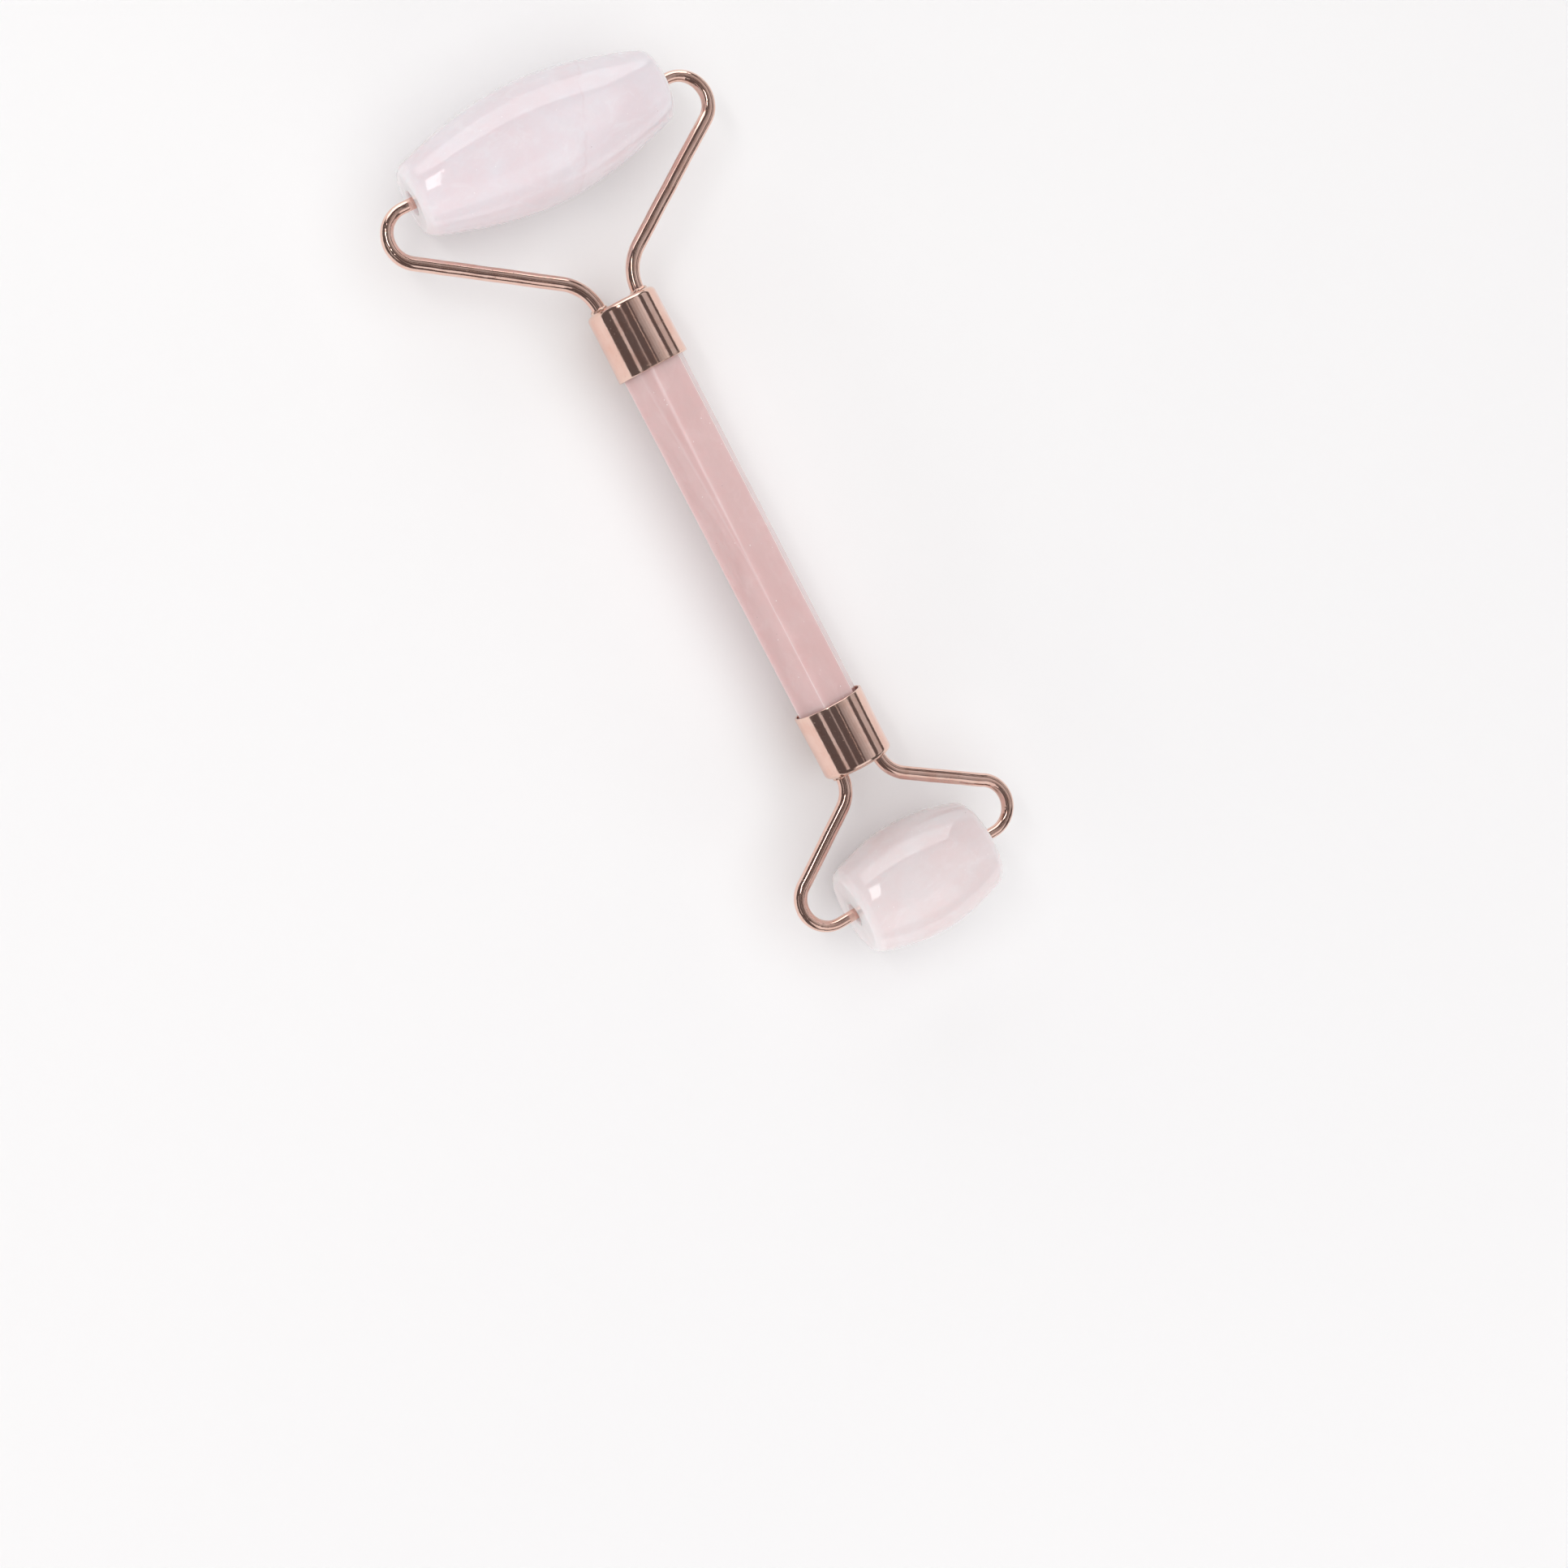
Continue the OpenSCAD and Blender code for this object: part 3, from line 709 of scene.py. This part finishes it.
def ferrule(name, node, sign, seed):
    r0, r1, ln, bore, floor = FERRULE_RIM_R, 5.7, FERRULE_LEN, 5.4, 1.0
    c = 0.9
    pr = [(0.0, ln - floor, 0.2), (bore * 0.5, ln - floor, 0.2), (bore - 0.3, ln - floor, 0.2), (bore - 0.09, ln - floor - 0.09, 0.2), (bore, ln - floor - 0.3, 0.2)]
    pr += [(bore, (ln - floor) * k / 10, 0.1) for k in range(9, 0, -1)]
    pr += [(bore, 0.30, 0.6)]
    pr += [(bore + 0.11 - x, 0.11 - z, 1.0) for x, z in arc(0, 0, 0.11, 0, 90, 5)]
    pr += [(r0 - 0.18, 0.0, 1.0)]
    pr += [(r0 - 0.18 + x, 0.18 - z, 1.0 - 0.4 * smooth(0, 0.18, x)) for x, z in arc(0, 0, 0.18, 90, 0, 7)][1:]
    steps = 30
    for k in range(1, steps):
        t = k / steps
        h = 0.18 + (ln - c - 0.18) * t
        # a spun cup: a hair of belly between the rim and the closed end
        pr.append((r0 + (r1 - r0) * t - 0.035 * math.sin(math.pi * t), h, 0.5 * (1 - smooth(0.24, 1.2, h))))
    pr += [(r1 - c + c * math.cos(a), ln - c + c * math.sin(a), 0.8 * math.sin(2 * a)) for a in [math.radians(90 * k / 14) for k in range(15)]]
    for k in range(1, 9):
        t = k / 9
        pr.append(((r1 - c) * (1 - t), ln - 0.05 * smooth(0.0, 0.6, t), 0.15 * (1 - t)))
    pr.append((0.0, ln - 0.05, 0.1))

    def shift(r, h, a):
        if r < bore + 0.05:
            return 0.0, 0.0
        d = -0.018 * (0.5 + 0.5 * fbm(Vector((math.cos(a) * 1.1, math.sin(a) * 1.1, h * 0.16)), seed, 2))
        return d * smooth(bore, bore + 0.4, r) if h < ln - 0.2 else 0.0, 0.0

    verts, faces, wear = lathe(pr, 144, end_place(sign), shift)
    ob = make_mesh(name, verts, faces, {"wear": wear}, sharp=50)
    cutters = []
    for sx in (-1, 1):
        cp = [(0.0, ln - floor - 0.6, 0.0), (WIRE_R + 0.05, ln - floor - 0.6, 0.0), (WIRE_R + 0.05, ln + 0.6, 0.0), (0.0, ln + 0.6, 0.0)]
        pl = end_place(sign)
        cv, cf, _ = lathe(cp, 40, lambda u, v, h, sx=sx, pl=pl: pl(u + sx * ROOT_X, v, h))
        cutters.append(make_mesh(f"{name}_drill_{'r' if sx > 0 else 'l'}", cv, cf))
    subtract(ob, cutters)
    return finish_piece(ob, MAT_FERRULE, "handle_assembly", node)


ferrule("large_end_rose_gold_ferrule", "large_end_ferrule", 1, 1.0)
ferrule("small_end_rose_gold_ferrule", "small_end_ferrule", -1, 2.0)


def cement(name, node, sign, seed):
    """Set adhesive: a ring round the tenon with a meniscus, and a pad over the floor of the cup."""
    pr = [(0.0, 8.66, 0), (3.0, 8.66, 0), (4.53, 8.66, 0)]
    pr += [(4.53, 8.66 - (8.66 - 1.45) * k / 10, 0) for k in range(1, 10)]
    for k in range(11):
        t = k / 10
        pr.append((4.53 + (5.38 - 4.53) * t, 1.22 + 0.20 * math.sin(math.pi * t) ** 0.8, 1.0))
    pr += [(5.38, 1.3 + (9.6 - 1.3) * k / 10, 0) for k in range(1, 11)]
    pr += [(5.29, 9.85, 0), (5.1, 9.97, 0), (2.4, 9.97, 0), (0.0, 9.97, 0)]

    def shift(r, h, a):
        if 4.6 < r < 5.35 and h < 1.6:
            return 0.0, 0.10 * (0.5 + 0.5 * fbm(Vector((math.cos(a) * 4, math.sin(a) * 4, h)), seed, 3))
        return 0.0, 0.0

    verts, faces, wear = lathe(pr, 96, end_place(sign), shift)
    ob = make_mesh(name, verts, faces, {"wear": wear}, sharp=60)
    return finish_piece(ob, MAT_CEMENT, "handle_assembly", node)


cement("large_end_set_cement", "large_end_cement", 1, 3.0)
cement("small_end_set_cement", "small_end_cement", -1, 6.0)

# ---------------------------------------------------------------------------
# Fork wires and braze beads
# ---------------------------------------------------------------------------


def wire_path(fork_x, y_pin, r1, r2, tip_x):
    """Points (x, y, tangent angle, bend) of the right-hand wire's centreline, about the middle of the bar.
    bend is 1 inside the root bend, 2 inside the tip bend and 0 on the straights."""
    y0 = END + 0.2
    c1 = Vector((ROOT_X + r1, y0))
    c2 = Vector((fork_x - WIRE_R - r2, y_pin - r2))
    d = c2 - c1
    a = math.atan2(d.y, d.x) - math.asin((r1 + r2) / d.length)
    out = []
    start = END - 1.95
    for k in range(8):
        out.append((ROOT_X, start + (y0 - start) * k / 8, math.pi / 2, 0, 0.0))
    n1 = 44
    for k in range(n1 + 1):  # root bend, turning clockwise about c1
        t = k / n1
        b = math.pi - (math.pi / 2 - a) * t
        out.append((c1.x + r1 * math.cos(b), c1.y + r1 * math.sin(b), b - math.pi / 2, 1, t))
    p1 = Vector((out[-1][0], out[-1][1]))
    p2 = Vector((c2.x + r2 * math.cos(a - math.pi / 2), c2.y + r2 * math.sin(a - math.pi / 2)))
    ln = (p2 - p1).length
    steps = max(4, int(ln / 0.55))
    for k in range(1, steps):
        q = p1 + (p2 - p1) * k / steps
        out.append((q.x, q.y, a, 0, 0.0))
    n2 = 64
    for k in range(n2 + 1):  # tip bend, turning anticlockwise about c2
        t = k / n2
        b = (a - math.pi / 2) + (math.pi - a) * t
        out.append((c2.x + r2 * math.cos(b), c2.y + r2 * math.sin(b), b + math.pi / 2, 2, t))
    x_end = c2.x
    ln = x_end - tip_x
    steps = max(6, int(ln / 0.4))
    for k in range(1, steps + 1):
        out.append((x_end - ln * k / steps, y_pin, math.pi, 3, k / steps * ln))
    return out


def arm(name, node, sign, side, fork_x, y_pin, r1, r2, tip_x, seed):
    path = wire_path(fork_x, y_pin, r1, r2, tip_x)
    seg = 40
    verts, faces, wear, co, rings = [], [], [], [], []
    run = 0.0
    last = None
    total = len(path)
    for k, (x, y, ang, bend, t) in enumerate(path):
        if last is not None:
            run += math.hypot(x - last[0], y - last[1])
        last = (x, y)
        # full wire to the tip bend, then drawn down through it to the pin
        if bend == 2:
            r = WIRE_R + (PIN_R - WIRE_R) * smooth(0.35, 1.0, t)
        elif bend == 3:
            r = PIN_R
        else:
            r = WIRE_R
        squash = 0.0
        if bend == 1:
            squash = 0.028 * math.sin(math.pi * t)
        elif bend == 2:
            squash = 0.040 * math.sin(math.pi * t)
        wob = fbm(Vector((run * 0.22, seed * 3.0, 0.0)), seed, 2)
        # the wire's own slight waviness, well under a tenth of a millimetre, away from its ends
        free = smooth(2.5, 8.0, run) * (0.0 if bend == 3 else (1.0 if bend != 2 else 1 - smooth(0.3, 0.9, t)))
        nx, ny = -math.sin(ang), math.cos(ang)
        off = 0.045 * wob * free
        zoff = 0.05 * fbm(Vector((run * 0.16, 5.0, seed)), seed + 2, 2) * free
        if bend == 2:  # keep the widest point just inside the true width
            off = min(off, 0.0)
        ring = []
        for i in range(seg):
            phi = 2 * math.pi * i / seg
            u, v = math.cos(phi), math.sin(phi)
            dent = 0.0
            if bend in (1, 2, 0):
                nz = fbm(Vector((u * 1.2, v * 1.2, run * 0.9)), seed + 4, 2)
                dent = -0.014 * smooth(0.15, 0.7, nz) - 0.004
                if bend == 2:
                    nz2 = fbm(Vector((u * 2.2, v * 2.2, run * 2.4)), seed + 8, 2)
                    dent -= 0.030 * smooth(0.34, 0.62, nz2) * smooth(0.0, 0.25, t) * smooth(0.0, 0.25, 1 - t)
            rr_n = (r * (1 - squash) + dent) * u
            rr_b = (r * (1 - 0.2 * squash) + dent) * v
            px = x + nx * (rr_n + off)
            py = y + ny * (rr_n + off)
            verts.append((side * px, BAR_Y + sign * py, AXIS_Z + rr_b + zoff))
            co.append((r * u, r * v, run))
            wear.append(0.0 if bend != 2 else 0.35 * math.sin(math.pi * t) * smooth(0.0, 1.0, -u * 0.8 + 0.4))
            ring.append(len(verts) - 1)
        rings.append(ring)
    # rounded tip of the pin
    x, y = path[-1][0], path[-1][1]
    for rr, dx in ((0.97, 0.06), (0.88, 0.14), (0.70, 0.22), (0.40, 0.28)):
        ring = []
        for i in range(seg):
            phi = 2 * math.pi * i / seg
            verts.append((side * (x - dx + 0.28), BAR_Y + sign * (y - PIN_R * rr * math.cos(phi)), AXIS_Z + PIN_R * rr * math.sin(phi)))
            co.append((PIN_R * rr * math.cos(phi), PIN_R * rr * math.sin(phi), run + dx))
            wear.append(0.2)
            ring.append(len(verts) - 1)
        rings.append(ring)
    # pull the last full ring back so that the rounded tip ends where the pin does
    for vi in rings[-5]:
        vx = verts[vi]
        verts[vi] = (side * (x + 0.28), vx[1], vx[2])
    for a, b in zip(rings, rings[1:]):
        for i in range(seg):
            j = (i + 1) % seg
            faces.append((a[i], a[j], b[j], b[i]))
    faces.append(tuple(rings[0]))
    faces.append(tuple(reversed(rings[-1])))
    ob = make_mesh(name, verts, faces, {"wear": wear, "wire_co": co}, sharp=50)
    return finish_piece(ob, MAT_WIRE, "handle_assembly", node)


for side, word in ((1, "right"), (-1, "left")):
    arm(f"large_fork_{word}_wire", f"large_fork_arm_{word}", 1, side, BIG_FORK, BIG_C.y - BAR_Y, 7.2, 4.3, BIG_L / 2 - 4.8, 1.0 + side * 0.4)
    arm(f"small_fork_{word}_wire", f"small_fork_arm_{word}", -1, side, SMALL_FORK, BAR_Y - SMALL_C.y, 5.6, 4.4, SMALL_L / 2 - 4.8, 3.0 + side * 0.7)


def bead(name, node, sign, side, seed):
    """A small run of braze round a root: a lumpy collar that climbs the wire a little."""
    seg = 64
    steps = 14
    verts, faces, wear, rings = [], [], [], []
    for k in range(steps + 1):
        ring = []
        t = k / steps
        for i in range(seg):
            a = 2 * math.pi * i / seg
            n1 = fbm(Vector((math.cos(a) * 1.3, math.sin(a) * 1.3, seed)), seed, 3)
            out_r = 1.46 + 0.17 * n1 + 0.05 * math.cos(2 * a)
            high = 0.50 + 0.22 * fbm(Vector((math.cos(a) * 1.6, math.sin(a) * 1.6, seed + 4)), seed + 2, 2)
            # from the foot outside, over a rounded shoulder, then up the wire
            b = math.pi / 2 * t
            rr = 1.04 + (out_r - 1.04) * math.cos(b) ** 0.85
            h = high * math.sin(b) ** 0.9
            lump = 0.035 * fbm(Vector((math.cos(a) * 3.2, math.sin(a) * 3.2, t * 2.5)), seed + 6, 2) * math.sin(math.pi * t)
            rr, h = rr + lump, h + lump
            rr = min(rr, 1.62)
            h = min(max(h, 0.0), 0.78)
            verts.append((side * ROOT_X + rr * math.cos(a), BAR_Y + sign * (END - 0.05 * smooth(0.3, 1.0, 1 - t) + h), AXIS_Z + rr * math.sin(a)))
            wear.append(0.0)
            ring.append(len(verts) - 1)
        rings.append(ring)
    for a, b in zip(rings, rings[1:]):
        for i in range(seg):
            j = (i + 1) % seg
            faces.append((a[i], a[j], b[j], b[i]))
    # inside wall against the wire and the flat foot, so that the bead is closed
    inner = []
    for i in range(seg):
        a = 2 * math.pi * i / seg
        verts.append((side * ROOT_X + 1.03 * math.cos(a), BAR_Y + sign * (END - 0.05), AXIS_Z + 1.03 * math.sin(a)))
        wear.append(0.0)
        inner.append(len(verts) - 1)
    for i in range(seg):
        j = (i + 1) % seg
        faces.append((rings[-1][i], rings[-1][j], inner[j], inner[i]))
        faces.append((inner[i], inner[j], rings[0][j], rings[0][i]))
    ob = make_mesh(name, verts, faces, {"wear": wear}, sharp=60)
    return finish_piece(ob, MAT_BRAZE, "handle_assembly", node)


for side, word in ((1, "right"), (-1, "left")):
    bead(f"large_fork_{word}_bead", f"large_fork_braze_{word}", 1, side, 1.0 + side * 0.3)
    bead(f"small_fork_{word}_bead", f"small_fork_braze_{word}", -1, side, 5.0 + side * 0.9)

# ---------------------------------------------------------------------------
# Floor, lights, camera
# ---------------------------------------------------------------------------


def floor():
    n = Nodes("studio_floor")
    b = n.bsdf
    p = n.mm()
    a = n.noise(p, 0.004, 3.0, 0.5)
    g = n.noise(p, 1.6, 2.0, 0.5)
    colour = n.mix(n.ramp(a, 0.3, 0.7), (0.93, 0.93, 0.93), (0.915, 0.915, 0.918))
    n.put(b.inputs["Base Color"], colour)
    b.inputs["Roughness"].default_value = 0.8
    b.inputs["Specular IOR Level"].default_value = 0.1
    n.put(b.inputs["Normal"], n.bump(g, 0.01, 0.3))
    # a round floor that ends in front of the light panels, so that no unlit floor shows behind them
    verts = [(560 * math.cos(math.tau * k / 180), 560 * math.sin(math.tau * k / 180), 0) for k in range(180)]
    ob = make_mesh("studio_floor", verts, [tuple(range(180))])
    ob.data.materials.append(n.mat)
    ob.location.z = -0.00002


floor()


def panel(name, direction, distance, size, radiance, aim=(0.0, 0.0, 0.0095), colour=(1.0, 1.0, 1.0), spread=180, roll=0.0):
    """A soft box of an even brightness, facing the object from a direction (azimuth from +Y towards +X, elevation)."""
    az, el = math.radians(direction[0]), math.radians(direction[1])
    d = Vector((math.sin(az) * math.cos(el), math.cos(az) * math.cos(el), math.sin(el)))
    at = Vector(aim) + d * distance
    light = bpy.data.lights.new(name, "AREA")
    light.shape = "RECTANGLE"
    light.size, light.size_y = size
    light.energy = radiance * math.pi * size[0] * size[1]
    light.color = colour
    light.spread = math.radians(spread)
    ob = bpy.data.objects.new(name, light)
    ob.location = at
    z = d
    x = Vector((0, 0, 1)).cross(z)
    x = x.normalized() if x.length > 1e-4 else Vector((1, 0, 0))
    y = z.cross(x).normalized()
    c, s = math.cos(math.radians(roll)), math.sin(math.radians(roll))
    x, y = x * c + y * s, y * c - x * s
    m = Matrix((x, y, z)).transposed().to_4x4()
    m.translation = at
    ob.matrix_world = m
    ob.visible_camera = False
    scene.collection.objects.link(ob)
    return ob


# the light that shows as a crisp lens on the stones; its soft light comes from the fills below
panel("main_softbox", (12, 19), 0.62, (0.76, 0.40), 1.85).visible_diffuse = False
panel("top_left_softbox", (-42, 56), 0.55, (0.26, 0.06), 5.2, colour=(1.0, 0.985, 0.97), roll=45)
panel("left_strip", (-90, 37), 0.80, (0.55, 0.14), 0.55)
panel("left_faint_strip", (-90, 70), 0.90, (1.0, 0.07), 0.26)
panel("top_thin_strip", (90, 87), 0.90, (1.0, 0.022), 0.75, colour=(1.0, 0.9, 0.82))
for name, el, radiance in (("a", 48, 0.60), ("b", 57, 0.46), ("c", 66, 0.34), ("d", 75, 0.24)):
    panel(f"right_fill_{name}", (90, el), 0.90, (1.0, 0.142), radiance)
panel("right_low_fill", (92, 20), 0.90, (1.1, 0.32), 0.45)
panel("back_fill", (180, 40), 1.0, (0.9, 0.7), 0.8)
# these even out the floor and the undersides, and stay out of the reflections
for name, direction, distance, size, radiance in (("overhead", (0, 90), 1.5, (2.6, 2.6), 1.02),
                                                  ("front", (8, 22), 0.9, (1.1, 0.5), 1.15),
                                                  ("back_low", (180, 14), 0.9, (1.3, 0.36), 1.5),
                                                  ("left_low", (-90, 14), 0.9, (1.3, 0.36), 1.4)):
    panel(f"{name}_fill", direction, distance, size, radiance).visible_glossy = False

world = bpy.data.worlds.new("studio")
scene.world = world
world.use_nodes = True
wt = world.node_tree
bg = wt.nodes["Background"]
bg.inputs["Color"].default_value = (1.0, 0.88, 0.89, 1.0)
bg.inputs["Strength"].default_value = 0.12
pale = wt.nodes.new("ShaderNodeBackground")
pale.inputs["Color"].default_value = (0.93, 0.93, 0.935, 1.0)
pale.inputs["Strength"].default_value = 1.0
mixer = wt.nodes.new("ShaderNodeMixShader")
lp = wt.nodes.new("ShaderNodeLightPath")
wt.links.new(lp.outputs["Is Camera Ray"], mixer.inputs[0])
wt.links.new(bg.outputs[0], mixer.inputs[1])
wt.links.new(pale.outputs[0], mixer.inputs[2])
wt.links.new(mixer.outputs[0], wt.nodes["World Output"].inputs["Surface"])

scene.view_settings.view_transform = "Standard"
scene.view_settings.look = "None"
scene.view_settings.exposure = 0.0
scene.view_settings.gamma = 1.0

cam = bpy.data.cameras.new("camera")
cam.sensor_width = 36.0
cam.sensor_fit = "HORIZONTAL"
cam.lens = 55.667
cam.clip_start, cam.clip_end = 0.01, 20.0
cam_ob = bpy.data.objects.new("camera", cam)
cx, cy, cz = (0.844456, -0.459127, 0.275855), (0.484913, 0.874058, -0.029670), (-0.227491, 0.158821, 0.960741)
m = Matrix((cx, cy, cz)).transposed().to_4x4()
m.translation = Vector((-0.09802, 0.02005, 0.37175))
cam_ob.matrix_world = m
scene.collection.objects.link(cam_ob)
scene.camera = cam_ob

bpy.context.view_layer.update()
